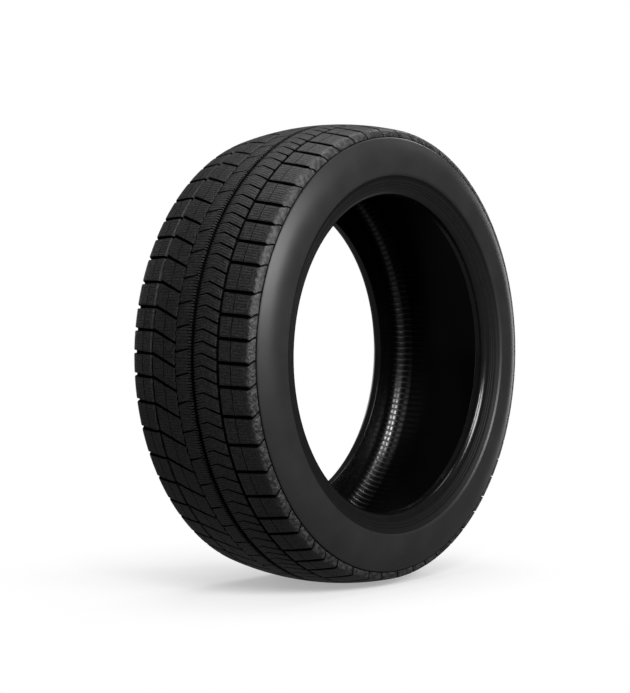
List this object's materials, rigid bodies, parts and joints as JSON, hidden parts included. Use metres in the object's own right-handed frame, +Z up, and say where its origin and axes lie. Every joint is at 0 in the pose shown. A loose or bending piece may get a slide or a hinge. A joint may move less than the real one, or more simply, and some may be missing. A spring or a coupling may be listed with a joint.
{
  "type": "car tyre",
  "caption": "Low-profile passenger car tyre off its rim, standing on its tread, with ring grooves, chevron and diagonal cross grooves and plain sidewalls.",
  "frame": {"origin": "centre of the tyre, where its axle line crosses the middle plane of the tread", "axes": "+Y along the axle, with the outer side facing -Y; +Z up from the small flat that the tyre stands on"},
  "size_m": [0.634, 0.226, 0.6328],
  "materials": {
    "rubber": "black vulcanised rubber, satin outside, glossier inside and on the beads"
  },
  "bodies": {
    "root": {"tyre": "rubber"}
  },
  "joints": []
}
